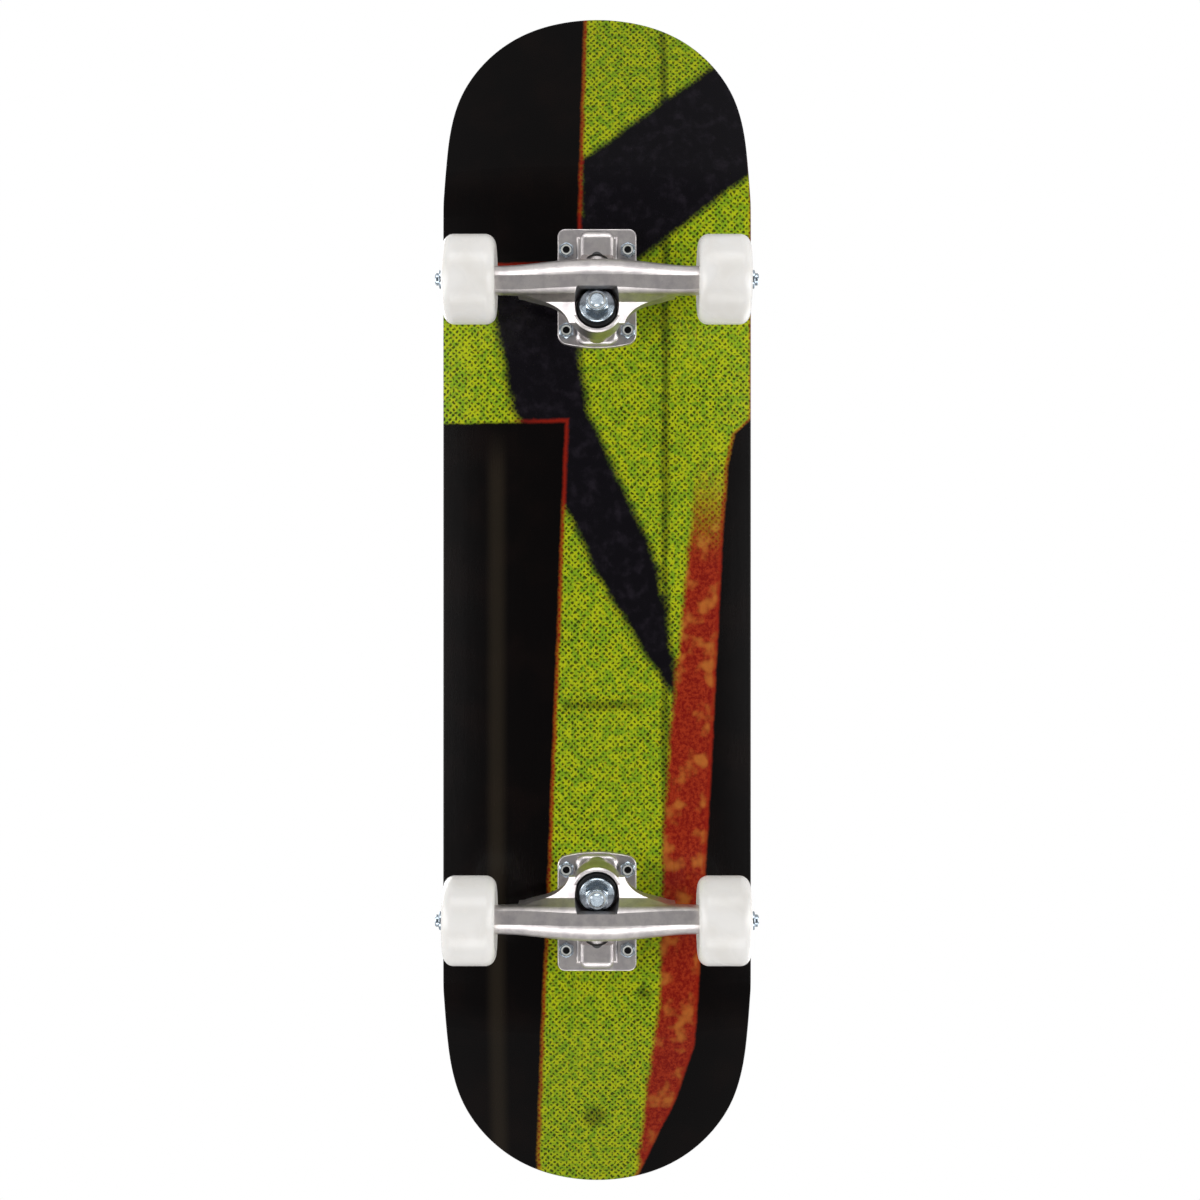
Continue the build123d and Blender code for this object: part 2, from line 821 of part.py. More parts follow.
def bushing_space():
    """What the hanger leaves free: both bushing recesses, the web's hole and the pocket."""
    bottom = tube(bottom_recess_radius, 0, boss_height, web_start)
    hole = tube(
        ring_web_hole_radius, 0, web_start - web_hole_overrun, web_end + web_hole_overrun
    )
    washer_sweep = top_washer_radius * sin(radians(steering_limit)) + steering_clearance
    top = tube(top_recess_radius, 0, web_end, kingpin_nut_start + washer_sweep)
    pocket = tube(top_recess_radius, 0, web_end, kingpin_end + cutter_overrun)
    pocket_limit_x = -axle_radius - pocket_wall_to_axle
    inboard_side = Pos(pocket_limit_x - hanger_width / 2, 0, axle_z) * Box(
        hanger_width, hanger_width, hanger_width
    )
    return [on_kingpin(bottom + hole + top), on_kingpin(pocket) & inboard_side]


def make_hanger():
    """One cast piece: beam, ring, wings, pivot arm and gusset."""
    beam = make_beam()
    facet = Pos(hanger_end_offset - facet_shift, 0, axle_z - facet_depth) * Rot(0, facet_tilt, 0)
    below = Pos(0, 0, -cutter_overrun / 2) * Box(3 * cutter_overrun, axle_length, cutter_overrun)
    beam -= facet * below
    ring = make_ring()
    hanger = beam + ring + make_wings() + make_neck() + make_gusset()
    hanger -= bushing_space()
    hanger -= at_axle_end(extrude(Circle(axle_radius), hanger_width, both=True), 1)
    return hanger


# ---- Axle, bearings and wheels ------------------------------------------------


def both_ends(shape):
    """Copies of a piece for the two ends of an axle, as one node."""
    return Compound([at_axle_end(shape, side).solid() for side in (1, -1)])


def make_axle():
    end = axle_length / 2
    half = turned(
        [
            (0, 0),
            (axle_radius, 0),
            (axle_radius, end - axle_end_chamfer),
            (axle_radius - axle_end_chamfer, end),
            (0, end),
        ]
    )
    return at_axle_end(half, 1) + at_axle_end(half, -1)


def make_axle_nuts():
    nut = locknut(
        axle_nut_across_flats,
        axle_nut_hex_height,
        axle_nut_collar_height,
        axle_radius + thread_fit,
    )
    return both_ends(Pos(0, 0, axle_nut_start) * nut)


def make_axle_nut_inserts():
    insert = locknut_insert(
        axle_nut_across_flats, axle_nut_hex_height, axle_nut_collar_height, axle_radius
    )
    return both_ends(Pos(0, 0, axle_nut_start) * insert)


def make_speed_washers():
    """Two thin washers on each side of the board, one each side of the bearings."""
    washers = []
    for side in (1, -1):
        for start in (hanger_width / 2, outer_washer_start):
            washer = tube(
                speed_washer_radius,
                axle_radius + axle_bore_clearance,
                start,
                start + speed_washer_thickness,
            )
            washers.append(at_axle_end(washer, side).solid())
    return Compound(washers)


def bearing_starts():
    """Where each of a wheel's two bearings begins along the axle."""
    return [bearing_stack_start, bearing_stack_start + bearing_width + bearing_gap]


def ball_groove():
    """The ring-shaped space that a bearing's balls run in."""
    groove_radius = bearing_ball_radius + bearing_ball_clearance
    return Pos(0, 0, bearing_width / 2) * Torus(bearing_pitch_radius, groove_radius)


def bearing_race(outer_radius, inner_radius):
    race = tube(outer_radius, inner_radius, 0, bearing_width)
    return race - ball_groove()


def make_inner_races():
    """The four inner races of an axle, clamped with the spacers between the washers."""
    race = bearing_race(bearing_inner_race_outer_radius, axle_radius + axle_bore_clearance)
    return Compound(
        [
            at_axle_end(Pos(0, 0, start) * race, side).solid()
            for side in (1, -1)
            for start in bearing_starts()
        ]
    )


def make_bearing_spacers():
    start = bearing_stack_start + bearing_width
    spacer = tube(spacer_radius, axle_radius + axle_bore_clearance, start, start + bearing_gap)
    return both_ends(spacer)


def wheel_set(shapes, side):
    """Copies of bearing parts for one wheel, as one node."""
    return Compound(
        [
            at_axle_end(Pos(0, 0, start) * shape, side).solid()
            for start in bearing_starts()
            for shape in shapes
        ]
    )


def make_outer_races(side):
    race = bearing_race(bearing_outer_radius, bearing_outer_race_inner_radius)
    return wheel_set([race], side)


def make_balls(side):
    balls = [
        Rot(0, 0, 360 * number / bearing_ball_count)
        * Pos(bearing_pitch_radius, 0, bearing_width / 2)
        * Sphere(bearing_ball_radius)
        for number in range(bearing_ball_count)
    ]
    return wheel_set(balls, side)


def make_shields(side):
    """Thin rings that close both faces of each bearing."""
    first = bearing_shield_inset
    last = bearing_width - bearing_shield_inset - bearing_shield_thickness
    shields = [
        tube(
            bearing_outer_race_inner_radius,
            bearing_inner_race_outer_radius + bearing_shield_gap,
            start,
            start + bearing_shield_thickness,
        )
        for start in (first, last)
    ]
    return wheel_set(shields, side)


def make_wheel(side):
    """A urethane wheel: round-shouldered tread, dished faces and two bearing seats."""
    half_width = wheel_width / 2
    half_tread = wheel_tread_width / 2
    seat_end = bearing_gap / 2 + bearing_width
    shoulder_radius = bearing_outer_radius - wheel_seat_shoulder
    shoulder_drop = half_width - half_tread

    def half_profile(sign):
        return [
            (shoulder_radius, sign * bearing_gap / 2),
            (bearing_outer_radius, sign * bearing_gap / 2),
            (bearing_outer_radius, sign * seat_end),
            (wheel_hub_mouth_radius, sign * (seat_end + wheel_dish_step)),
            (wheel_lip_radius, sign * half_width),
        ]

    low = half_profile(-1)
    high = half_profile(1)

    def at(point):
        return (point[0], 0, point[1])

    low_edge = (wheel_radius - shoulder_drop, -half_width)
    high_edge = (low_edge[0], half_width)
    arc_middle = wheel_radius - shoulder_drop * (1 - sin(radians(45)))
    arc_side = half_tread + shoulder_drop * sin(radians(45))
    edges = [
        Polyline(*[at(point) for point in low]),
        Line(at(low[-1]), at(low_edge)),
        ThreePointArc(at(low_edge), at((arc_middle, -arc_side)), at((wheel_radius, -half_tread))),
        Line(at((wheel_radius, -half_tread)), at((wheel_radius, half_tread))),
        ThreePointArc(at((wheel_radius, half_tread)), at((arc_middle, arc_side)), at(high_edge)),
        Line(at(high_edge), at(high[-1])),
        Polyline(*[at(point) for point in reversed(high)]),
        Line(at(high[0]), at(low[0])),
    ]
    wheel = revolve(make_face(edges_of(edges)), Axis.Z)
    return at_axle_end(Pos(0, 0, wheel_centre_y) * wheel, side)


# ---- The whole board ----------------------------------------------------------

truck_pieces = {
    "baseplate": make_baseplate,
    "mounting_bolts": make_mounting_bolts,
    "mounting_nuts": make_mounting_nuts,
    "locknut_inserts": make_locknut_inserts,
    "pivot_cup": make_pivot_cup,
    "kingpin": make_kingpin,
    "kingpin_nut": make_kingpin_nut,
    "bottom_washer": make_bottom_washer,
    "top_washer": make_top_washer,
    "bottom_bushing": make_bottom_bushing,
    "top_bushing": make_top_bushing,
    "hanger": make_hanger,
    "axle": make_axle,
    "axle_nuts": make_axle_nuts,
    "axle_nut_inserts": make_axle_nut_inserts,
    "speed_washers": make_speed_washers,
    "bearing_inner_races": make_inner_races,
    "bearing_spacers": make_bearing_spacers,
}

wheel_pieces = {
    "wheel": make_wheel,
    "bearing_outer_races": make_outer_races,
    "bearing_balls": make_balls,
    "bearing_shields": make_shields,
}

truck_ends = {"front": 1, "rear": -1}
wheel_sides = {"left": 1, "right": -1}

nodes = make_deck()
for end_name, end in truck_ends.items():
    for piece_name, make_piece in truck_pieces.items():
        nodes[f"{end_name}_{piece_name}"] = at_truck(make_piece(), end)
    for side_name, side in wheel_sides.items():
        for piece_name, make_piece in wheel_pieces.items():
            node_name = f"{end_name}_{side_name}_{piece_name}"
            nodes[node_name] = at_truck(make_piece(side * end), end)

os.makedirs("parts", exist_ok=True)
for node_name, shape in nodes.items():
    export_step(shape, f"parts/{node_name}.step")
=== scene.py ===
import json
import math

import bmesh
import bpy
from mathutils import Matrix, Vector


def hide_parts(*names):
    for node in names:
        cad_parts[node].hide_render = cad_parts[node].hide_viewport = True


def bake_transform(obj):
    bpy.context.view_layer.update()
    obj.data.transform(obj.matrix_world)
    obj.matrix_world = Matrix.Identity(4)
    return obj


# A complete street skateboard. +X points toward the nose, Y across the board and
# +Z up; the origin is on the ground under the middle of the board. Named sizes are
# in millimetres unless their name or comment says otherwise. MM turns them to metres.

MM = 0.001

# ---- Sizes of the pieces that this script shapes --------------------------------

TRUCK_X = 207.96
DECK_BOTTOM = 82.0
KINGPIN_FOOT_X = -25.1
KINGPIN_LEAN = math.radians(12.0)
KINGPIN_RADIUS = 4.86
BOTTOM_BUSHING_START = 15.8
BOTTOM_BUSHING_END = 29.8
BOTTOM_BUSHING_RADIUS = 13.0
BOTTOM_NECK_RADIUS = 10.4
TOP_BUSHING_START = 35.8
TOP_BUSHING_END = 45.8
TOP_BUSHING_RADIUS = 13.6
TOP_NECK_RADIUS = 9.9
NECK_HEIGHT = 2.0
NECK_CHAMFER = 0.3
NECK_FLARE = 0.2
FOOT_ROUND = 0.5
RIM_ROUND = 0.6
RIM_INSET = 0.5
BULGE_DEPTH = 0.7
BULGE_STEPS = 14
BUSHING_SEGMENTS = 64
SHARP_EDGE = math.radians(40)

# ---- The camera and the stage, with lengths in metres where the comment says so ----

CAMERA_DISTANCE = 1300.0
CAMERA_SHIFT_Y = 2.0
CAMERA_LENS = 57.68
SENSOR_WIDTH = 36.0
CAMERA_REACH = 60.0  # metres
FLOOR_SIZE = 24.0  # metres
FLOOR_MOTTLE = 300.0
FLOOR_GLOW = 0.3
LIGHT_AIM = (0, 0, 0.06)  # metres

# Grey of the studio in reflections: (share of the way from straight down to
# straight up, grey from 0 to 1).
STUDIO_GREYS = [
    (0.0, 0.16),
    (0.08, 0.18),
    (0.24, 0.34),
    (0.38, 0.55),
    (0.5, 0.7),
    (1.0, 0.55),
]

# Powers of the soft boxes, in watts.
SIDE_POWER = 22
END_POWER = 9
KEY_POWER = 20
FILL_POWER = 10

# ---- Colours, as they look on a screen (0 to 255) -------------------------------

PRINT_YELLOW_GREEN = (202, 216, 26)
PRINT_GREEN = (146, 186, 32)
PRINT_WEAVE_DARK = (40, 44, 8)
PRINT_BLACK = (5, 2, 2)
PRINT_BROWN_BLACK = (26, 13, 9)
PRINT_BLUE_BLACK = (15, 12, 18)
PRINT_SMOKE = (54, 48, 58)
PRINT_MARK = (34, 40, 8)
PRINT_STREAK = (96, 84, 66)
PRINT_RED = (164, 34, 14)
PRINT_ORANGE = (186, 112, 30)
PRINT_STRIPE = (182, 58, 28)
PRINT_STRIPE_DARK = (140, 22, 12)
PRINT_STRIPE_LIGHT = (214, 128, 52)
RAIL_BLACK = (16, 17, 20)
MAPLE_LIGHT = (214, 178, 132)
MAPLE_DARK = (172, 126, 80)
DYED_LIGHT = (52, 48, 46)
DYED_DARK = (26, 24, 24)
GRIP_BLACK = (24, 24, 25)
GRIP_DUST = (58, 57, 55)
GRIP_SPARKLE = (92, 92, 94)
ALUMINIUM = (222, 216, 214)
ALUMINIUM_DARK = (194, 188, 189)
ALUMINIUM_PIT = (110, 106, 103)
ZINC = (186, 198, 208)
ZINC_DARK = (140, 152, 164)
BLACK_STEEL = (30, 30, 32)
BLACK_STEEL_RUBBED = (76, 74, 72)
NYLON = (222, 224, 220)
NYLON_SHADE = (204, 206, 202)
CUP_PLASTIC = (28, 28, 30)
CUP_DUST = (44, 43, 42)
RUBBER = (12, 12, 13)
RUBBER_DUST = (24, 23, 23)
URETHANE = (226, 224, 221)
URETHANE_SHADE = (217, 214, 209)
URETHANE_SPECK = (176, 170, 160)
BEARING_STEEL = (196, 198, 200)
BEARING_STEEL_DARK = (160, 162, 166)
SHIELD = (150, 152, 156)
SHIELD_DARK = (122, 124, 128)
FLOOR_GREY = (222, 222, 222)
FLOOR_SHADE = (219, 219, 220)


def linear(colour):
    """A screen colour as linear light, with full opacity."""
    shares = [channel / 255 for channel in colour]
    light = [s / 12.92 if s <= 0.04045 else ((s + 0.055) / 1.055) ** 2.4 for s in shares]
    return (*light, 1.0)


# ---- Building blocks of the materials -------------------------------------------


class Paint:
    """A new material and short calls for the nodes that it is built from."""

    def __init__(self, name):
        self.material = bpy.data.materials.new(name)
        self.material.use_nodes = True
        self.nodes = self.material.node_tree.nodes
        self.links = self.material.node_tree.links
        self.shader = self.nodes["Principled BSDF"]

    def plug(self, socket, value):
        """Give a socket a number, a colour or another node's output."""
        if self.is_socket(value):
            self.links.new(value, socket)
        else:
            socket.default_value = value

    def maths(self, operation, *operands):
        """One of the Math node's operations on numbers or outputs."""
        node = self.nodes.new("ShaderNodeMath")
        node.operation = operation
        for socket, value in zip(node.inputs, operands):
            self.plug(socket, value)
        return node.outputs[0]

    def add(self, a, b):
        return self.maths("ADD", a, b)

    def subtract(self, a, b):
        return self.maths("SUBTRACT", a, b)

    def multiply(self, a, b):
        return self.maths("MULTIPLY", a, b)

    def least(self, a, b):
        return self.maths("MINIMUM", a, b)

    def most(self, a, b):
        return self.maths("MAXIMUM", a, b)

    def between(self, value, low, high, smooth=True):
        """0 below low, 1 above high, and a soft step in between."""
        node = self.nodes.new("ShaderNodeMapRange")
        node.interpolation_type = "SMOOTHSTEP" if smooth else "LINEAR"
        self.plug(node.inputs["Value"], value)
        node.inputs["From Min"].default_value = low
        node.inputs["From Max"].default_value = high
        return node.outputs["Result"]

    def polyline(self, value, points):
        """A height that runs straight from point to point, and level beyond the ends."""
        total = points[0][1]
        for (start, low), (end, high) in zip(points, points[1:]):
            share = self.between(value, start, end, smooth=False)
            total = self.add(self.multiply(share, high - low), total)
        return total

    def place(self):
        """The point on the piece, in millimetres in the board's own frame."""
        coordinates = self.nodes.new("ShaderNodeTexCoord")
        scale = self.nodes.new("ShaderNodeVectorMath")
        scale.operation = "SCALE"
        scale.inputs["Scale"].default_value = 1 / MM
        self.links.new(coordinates.outputs["Object"], scale.inputs[0])
        return scale.outputs[0]

    def stretch(self, vector, factors):
        """The point with each coordinate scaled. A small factor draws a pattern out."""
        node = self.nodes.new("ShaderNodeVectorMath")
        node.operation = "MULTIPLY"
        self.links.new(vector, node.inputs[0])
        node.inputs[1].default_value = factors
        return node.outputs[0]

    def parts(self, vector):
        """The X, Y and Z outputs of a point or a direction."""
        node = self.nodes.new("ShaderNodeSeparateXYZ")
        self.links.new(vector, node.inputs[0])
        return node.outputs

    def noise(self, vector, size, detail=2.0, roughness=0.5):
        """Smooth random values from 0 to 1 with blotches of about a size in millimetres."""
        node = self.nodes.new("ShaderNodeTexNoise")
        self.links.new(vector, node.inputs["Vector"])
        node.inputs["Scale"].default_value = 1 / size
        node.inputs["Detail"].default_value = detail
        node.inputs["Roughness"].default_value = roughness
        return node.outputs["Fac"]

    def cells(self, vector, size):
        """The distance to the nearest of scattered points, in cell sizes."""
        node = self.nodes.new("ShaderNodeTexVoronoi")
        self.links.new(vector, node.inputs["Vector"])
        node.inputs["Scale"].default_value = 1 / size
        return node.outputs["Distance"]

    def blend(self, share, first, second):
        """A colour that goes from the first (share 0) to the second (share 1)."""
        node = self.nodes.new("ShaderNodeMix")
        node.data_type = "RGBA"
        self.plug(node.inputs["Factor"], share)
        self.plug(node.inputs["A"], first if self.is_socket(first) else linear(first))
        self.plug(node.inputs["B"], second if self.is_socket(second) else linear(second))
        return node.outputs["Result"]

    @staticmethod
    def is_socket(value):
        return isinstance(value, bpy.types.NodeSocket)

    def facing(self):
        """The upward share of the surface's direction."""
        geometry = self.nodes.new("ShaderNodeNewGeometry")
        return self.parts(geometry.outputs["Normal"])["Z"]

    def bumps(self, height, depth, under=None):
        """A direction for the surface with bumps of a depth in millimetres."""
        node = self.nodes.new("ShaderNodeBump")
        node.inputs["Distance"].default_value = depth * MM
        self.links.new(height, node.inputs["Height"])
        if under is not None:
            self.links.new(under, node.inputs["Normal"])
        return node.outputs["Normal"]

    def set(self, **inputs):
        """Set the shader's inputs by name, with _ for a space."""
        for name, value in inputs.items():
            self.plug(self.shader.inputs[name.replace("_", " ")], value)
        return self.material


# ---- The deck's print -------------------------------------------------------------


class Artwork:
    """The print under the deck: plain abstract blocks over a woven green ground.

    An edge or a line along the board is a list of (x, y) points, from tail to nose.
    """

    weave_pitch = 3.0
    bleed = 3.6
    nose_panel_start = 228
    nose_panel_edge = [(228, -13.5), (400, -9.5)]
    tail_panel_end = 120
    tail_panel_edge = [(-385, -42.0), (-203, -34.0), (120, -21.6)]
    streak_y = -68
    stripe_edge = [
        (-385, 29),
        (-352, 32.5),
        (-270, 42.6),
        (-135, 46),
        (-81, 50.7),
        (27, 61.5),
        (101, 68),
    ]
    right_panel_edge = [
        (-406, 27),
        (-385, 36),
        (-345, 54),
        (-304, 66.3),
        (-135, 76.4),
        (27, 84.5),
        (88, 88.6),
        (113, 93.5),
        (124, 106),
    ]
    nose_band_slope = 0.78
    nose_band_x = 258.0
    nose_band_half_width = 50.0
    nose_band_side = -12.0
    middle_band_line = [(-62, 52), (40, 12), (130, -32), (215, -46), (262, -20)]
    middle_band_half_widths = [(-66, 0), (-40, 9), (20, 22), (120, 25), (240, 30)]
    middle_band_end = 262.0
    thin_line_y = 46.0
    thin_line_half_width = 3.4
    bars = ((-71, -24, 30), (32, 60, 82))  # x, lower y and upper y
    bar_half_width = 4.2
    spots = ((-266, 32, 5), (-357, -2, 8))  # x, y and radius

    def __init__(self, paint):
        self.paint = paint
        self.point = paint.place()
        wobble = paint.subtract(paint.noise(self.point, 3.0, 3.0, 0.6), 0.5)
        slow = paint.subtract(paint.noise(self.point, 14.0, 2.0), 0.5)
        self.ragged = paint.add(paint.multiply(wobble, 3.0), paint.multiply(slow, 4.0))
        x, y, _ = paint.parts(self.point)
        self.x = x
        self.y = y

    def ground(self):
        """Yellow-green threads that cross at an angle, with dark gaps between them."""
        p = self.paint
        drift = p.multiply(p.subtract(p.noise(self.point, 4.0, 2.0, 0.6), 0.5), 5.0)
        sway = p.multiply(p.subtract(p.noise(self.point, 5.3, 2.0, 0.6), 0.5), 5.0)
        turn = math.pi / self.weave_pitch / math.sqrt(2)
        along = p.multiply(p.add(p.add(self.x, self.y), drift), turn)
        across = p.multiply(p.add(p.subtract(self.x, self.y), sway), turn)
        gap = p.multiply(
            p.maths("ABSOLUTE", p.maths("SINE", along)),
            p.maths("ABSOLUTE", p.maths("SINE", across)),
        )
        mottle = p.noise(self.point, 2.2, 3.0, 0.65)
        dark = p.between(p.add(gap, p.multiply(p.subtract(mottle, 0.5), 1.7)), 0.28, 0.94)
        tone = p.between(p.noise(self.point, 5.0, 2.0, 0.6), 0.36, 0.64)
        thread = p.blend(tone, PRINT_YELLOW_GREEN, PRINT_GREEN)
        warm = p.between(p.noise(self.point, 1.7, 2.0, 0.6), 0.58, 0.7)
        thread = p.blend(p.multiply(warm, 0.5), thread, PRINT_ORANGE)
        patchy = p.between(p.noise(self.point, 40.0, 2.0), 0.2, 0.8)
        deep = p.multiply(dark, p.add(p.multiply(patchy, 0.15), 0.8))
        return p.blend(deep, thread, PRINT_WEAVE_DARK), dark

    def inside(self, distance, softness):
        """1 where a distance into a shape is positive, with a ragged soft edge."""
        p = self.paint
        return p.between(p.add(distance, self.ragged), -softness, softness)

    def black_panel(self, base, distance, red_side):
        """A black block with a red bleed along its edge."""
        p = self.paint
        halo = p.between(p.add(distance, p.multiply(self.ragged, 0.6)), -self.bleed, -1.0)
        base = p.blend(p.multiply(halo, p.multiply(red_side, 0.85)), base, PRINT_RED)
        brown = p.between(p.noise(self.point, 30.0, 3.0), 0.4, 0.75)
        ink = p.blend(p.multiply(brown, 0.3), PRINT_BLACK, PRINT_BROWN_BLACK)
        solid = p.between(p.add(distance, p.multiply(self.ragged, 0.4)), -1.2, 1.2)
        return p.blend(solid, base, ink)

    def left_panels(self, base):
        """A black panel at the nose, and a longer one from the tail with a faint streak."""
        p = self.paint
        edge = p.polyline(self.x, self.nose_panel_edge)
        into = p.subtract(self.x, self.nose_panel_start)
        nose = p.least(into, p.subtract(edge, self.y))
        base = self.black_panel(base, nose, 1.0)
        edge = p.polyline(self.x, self.tail_panel_edge)
        into = p.subtract(self.tail_panel_end, self.x)
        tail = p.least(into, p.subtract(edge, self.y))
        base = self.black_panel(base, tail, p.between(self.y, -70, -30))
        away = p.maths("ABSOLUTE", p.subtract(self.y, self.streak_y))
        streak = p.subtract(1.0, p.between(away, 1, 9))
        fade = p.between(self.x, self.tail_panel_end, self.tail_panel_end - 40)
        streak = p.multiply(streak, fade)
        return p.blend(p.multiply(streak, 0.16), base, PRINT_STREAK)

    def stripe(self, base):
        """The red-orange stripe along the right side, from the tail to mid-board."""
        p = self.paint
        edge = p.polyline(self.x, self.stripe_edge)
        inside = self.inside(p.subtract(self.y, edge), 2.6)
        strength = p.multiply(inside, p.between(self.x, 104, 22))
        grain = p.between(p.noise(self.point, 2.4, 3.0, 0.7), 0.36, 0.66)
        red = p.blend(grain, PRINT_STRIPE_DARK, PRINT_STRIPE)
        light = p.between(p.noise(self.point, 17.0, 2.0, 0.6), 0.5, 0.68)
        red = p.blend(p.multiply(light, 0.7), red, PRINT_STRIPE_LIGHT)
        return p.blend(strength, base, red)

    def right_panel(self, base):
        """A black panel that narrows from the tail to mid-board."""
        p = self.paint
        edge = p.polyline(self.x, self.right_panel_edge)
        return self.black_panel(base, p.subtract(self.y, edge), 0.8)

    def dark_bands(self, base):
        """Two broad soft bands, one across the nose and one slanting down the middle."""
        p = self.paint
        slant = p.subtract(self.x, p.multiply(self.y, self.nose_band_slope))
        away = p.maths("ABSOLUTE", p.subtract(slant, self.nose_band_x))
        nose = p.subtract(self.nose_band_half_width, away)
        nose = p.least(nose, p.subtract(self.y, self.nose_band_side))
        line = p.polyline(self.x, self.middle_band_line)
        half_width = p.polyline(self.x, self.middle_band_half_widths)
        away = p.maths("ABSOLUTE", p.subtract(self.y, line))
        middle = p.subtract(half_width, away)
        middle = p.least(middle, p.subtract(self.middle_band_end, self.x))
        shape = p.most(nose, middle)
        soft = p.between(p.add(shape, p.multiply(self.ragged, 1.5)), -5.0, 4.0)
        smoke = p.between(p.noise(self.point, 9.0, 4.0, 0.6), 0.45, 0.8)
        ink = p.blend(p.multiply(smoke, 0.45), PRINT_BLUE_BLACK, PRINT_SMOKE)
        return p.blend(soft, base, ink)

    def lines_and_spots(self, base, threads):
        """A thin dark line along the board, two short bars and two spots."""
        p = self.paint
        marks = []
        away = p.maths("ABSOLUTE", p.subtract(self.y, self.thin_line_y))
        line = p.subtract(self.thin_line_half_width, away)
        marks.append(p.multiply(p.between(p.add(line, self.ragged), -1.0, 2.6), 0.85))
        for centre_x, low_y, high_y in self.bars:
            away = p.maths("ABSOLUTE", p.subtract(self.x, centre_x))
            bar = p.subtract(self.bar_half_width, away)
            bar = p.least(bar, p.subtract(self.y, low_y))
            bar = p.least(bar, p.subtract(high_y, self.y))
            marks.append(p.multiply(p.between(p.add(bar, self.ragged), -2.0, 4.0), 0.75))
        for centre_x, centre_y, radius in self.spots:
            away_x = p.maths("POWER", p.subtract(self.x, centre_x), 2.0)
            away_y = p.maths("POWER", p.subtract(self.y, centre_y), 2.0)
            spot = p.subtract(radius, p.maths("SQRT", p.add(away_x, away_y)))
            marks.append(p.multiply(p.between(p.add(spot, self.ragged), -2.5, 4.0), 0.8))
        shade = marks[0]
        for mark in marks[1:]:
            shade = p.most(shade, mark)
        shade = p.multiply(shade, p.add(p.multiply(threads, 0.35), 0.65))
        return p.blend(shade, base, PRINT_MARK)

    def colour(self):
        """Everything in the print, from the ground up."""
        base, threads = self.ground()
        base = self.lines_and_spots(base, threads)
        base = self.dark_bands(base)
        base = self.stripe(base)
        base = self.left_panels(base)
        return self.right_panel(base)


def printed_maple():
    """The lowest ply: a glossy print below, black on the rail at the side."""
    p = Paint("printed_maple")
    artwork = Artwork(p)
    # Surfaces that face down get the print; surfaces that face sideways, the rail, are black.
    below = p.between(p.facing(), -0.55, -0.75)
    colour = p.blend(below, RAIL_BLACK, artwork.colour())
    scuff = p.noise(artwork.point, 60.0, 4.0, 0.6)
    brush_marks = p.stretch(artwork.point, (0.05, 1.0, 1.0))
    fine = p.noise(brush_marks, 1.6, 3.0)
    roughness = p.add(p.multiply(scuff, 0.08), p.add(p.multiply(fine, 0.05), 0.2))
    veneer_grain = p.stretch(artwork.point, (0.12, 1.0, 1.0))
    ripple = p.noise(veneer_grain, 6.0, 2.0)
    return p.set(
        Base_Color=colour,
        Roughness=roughness,
        Normal=p.bumps(ripple, 0.03),
        Specular_IOR_Level=0.16,
        Coat_Weight=0.05,
        Coat_Roughness=0.06,
    )


# ---- Wood and grip tape -----------------------------------------------------------


def wood(name, light, dark):
    """Maple veneer: long streaks along the board and fine pores across its edge."""
    p = Paint(name)
    point = p.place()
    streak = p.noise(p.stretch(point, (0.03, 1.0, 1.4)), 1.1, 5.0, 0.6)
    slow = p.noise(p.stretch(point, (0.02, 0.3, 0.6)), 3.0, 2.0)
    pore = p.cells(p.stretch(point, (0.4, 1.2, 2.2)), 0.5)
    tone = p.between(p.add(p.multiply(streak, 0.7), p.multiply(slow, 0.3)), 0.32, 0.68)
    colour = p.blend(tone, light, dark)
    colour = p.blend(p.multiply(p.between(pore, 0.16, 0.04), 0.4), colour, dark)
    roughness = p.add(p.multiply(streak, 0.2), 0.42)
    return p.set(Base_Color=colour, Roughness=roughness, Normal=p.bumps(streak, 0.06))


def grip_tape():
    """Black grit on a sheet: sharp grains, a few of them bright."""
    p = Paint("grip_tape")
    point = p.place()
    grain = p.cells(point, 0.55)
    coarse = p.noise(point, 1.3, 3.0, 0.7)
    sparkle = p.multiply(p.between(grain, 0.2, 0.05), p.between(coarse, 0.52, 0.62))
    dust = p.between(p.noise(point, 70.0, 3.0, 0.6), 0.45, 0.85)
    colour = p.blend(p.multiply(dust, 0.25), GRIP_BLACK, GRIP_DUST)
    colour = p.blend(sparkle, colour, GRIP_SPARKLE)
    height = p.add(p.multiply(grain, -1.0), coarse)
    roughness = p.subtract(0.95, p.multiply(sparkle, 0.45))
    return p.set(Base_Color=colour, Roughness=roughness, Normal=p.bumps(height, 0.25))


# ---- Metals -----------------------------------------------------------------------


def cast_aluminium():
    """Satin casting: a fine sandy skin, brushed along the axle, duller in patches."""
    p = Paint("cast_aluminium")
    point = p.place()
    sand = p.noise(point, 0.7, 3.0, 0.6)
    brushed = p.noise(p.stretch(point, (1.0, 0.05, 1.0)), 0.35, 2.0)
    patch = p.noise(point, 9.0, 3.0, 0.55)
    pits = p.between(p.cells(point, 1.7), 0.16, 0.05)
    tone = p.between(patch, 0.35, 0.7)
    colour = p.blend(tone, ALUMINIUM, ALUMINIUM_DARK)
    colour = p.blend(p.multiply(pits, 0.5), colour, ALUMINIUM_PIT)
    roughness = p.add(p.multiply(brushed, 0.16), p.add(p.multiply(patch, 0.12), 0.24))
    skin = p.bumps(p.add(p.multiply(sand, 0.6), p.multiply(brushed, 0.6)), 0.022)
    skin = p.bumps(p.multiply(pits, -1.0), 0.03, skin)
    return p.set(Base_Color=colour, Metallic=1.0, Roughness=roughness, Normal=skin)


